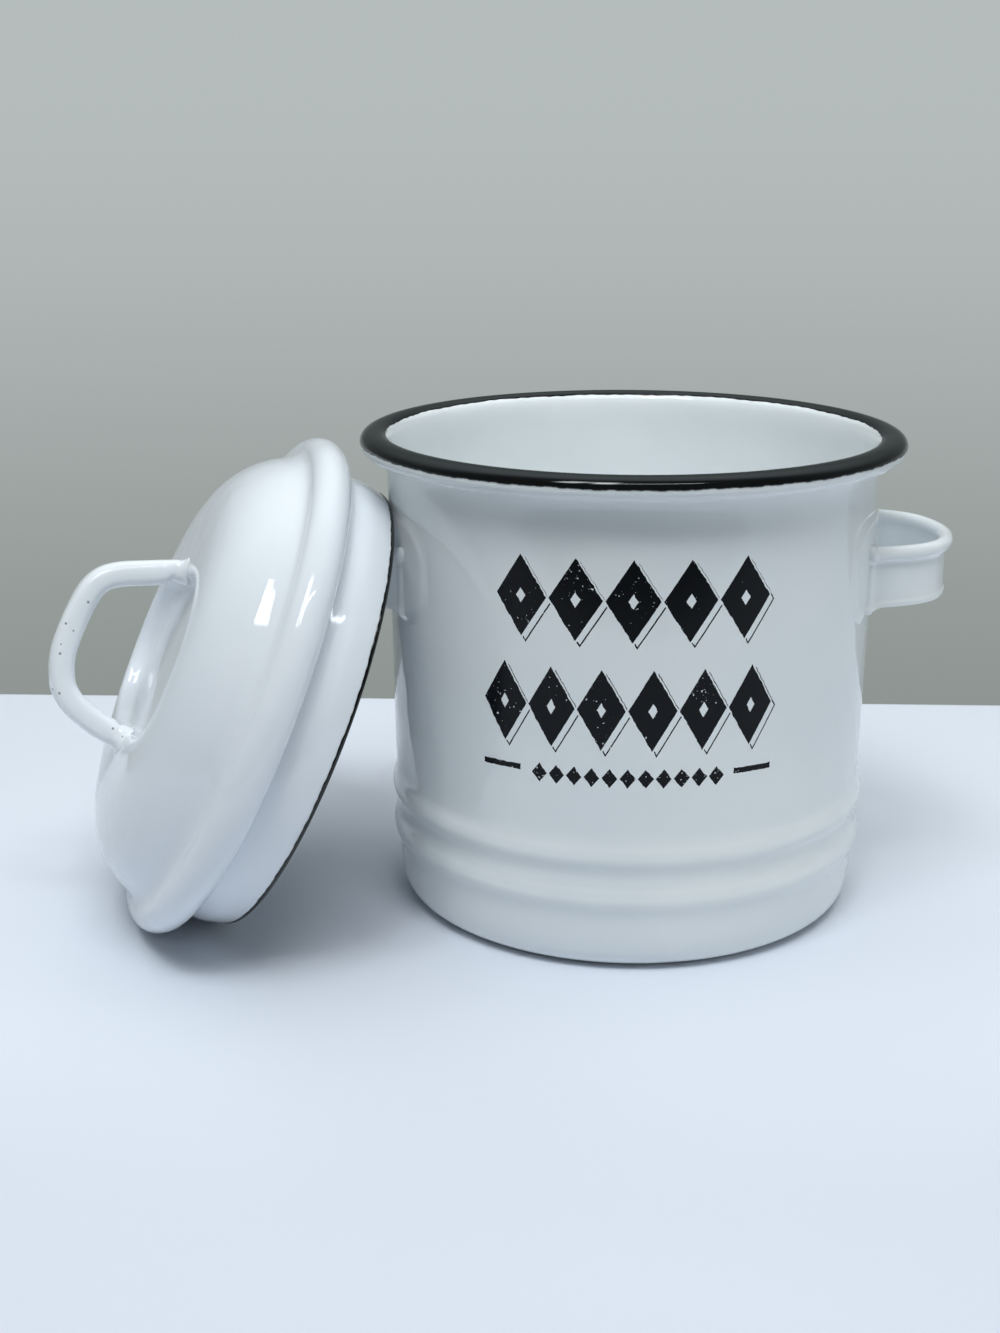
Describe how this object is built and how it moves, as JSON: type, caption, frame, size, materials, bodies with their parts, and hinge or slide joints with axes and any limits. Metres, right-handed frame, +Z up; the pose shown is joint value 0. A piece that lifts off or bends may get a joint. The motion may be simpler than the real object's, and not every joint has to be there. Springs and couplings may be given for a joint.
{
  "type": "grease keeper",
  "caption": "Round enamelled steel grease pot with a black rolled rim, two strap ears and low raised rings; its domed lid with a bar handle leans open against its side.",
  "frame": {"origin": "centre of the pot's flat base, on the surface it stands on", "axes": "+Z up along the pot's axis, +X towards the right ear; the lid leans against the pot at -X"},
  "size_m": [0.2422, 0.1579, 0.1293],
  "materials": {
    "white_enamel": "glossy fired enamel",
    "black_enamel": "glossy fired enamel"
  },
  "bodies": {
    "pot": {"pot_shell": "white_enamel", "rim_band": "black_enamel", "right_ear_plate": "white_enamel", "right_ear_loop": "white_enamel", "left_ear_plate": "white_enamel", "left_ear_loop": "white_enamel"},
    "lid": {"lid_shell": "white_enamel", "lid_edge_band": "black_enamel", "lid_handle": "white_enamel"}
  },
  "joints": [
    {"name": "lid_lift", "type": "slide", "parent": "pot", "child": "lid", "axis": [-0.8896, -0.199, 0.4112], "range_m": [0, 0.12]}
  ]
}
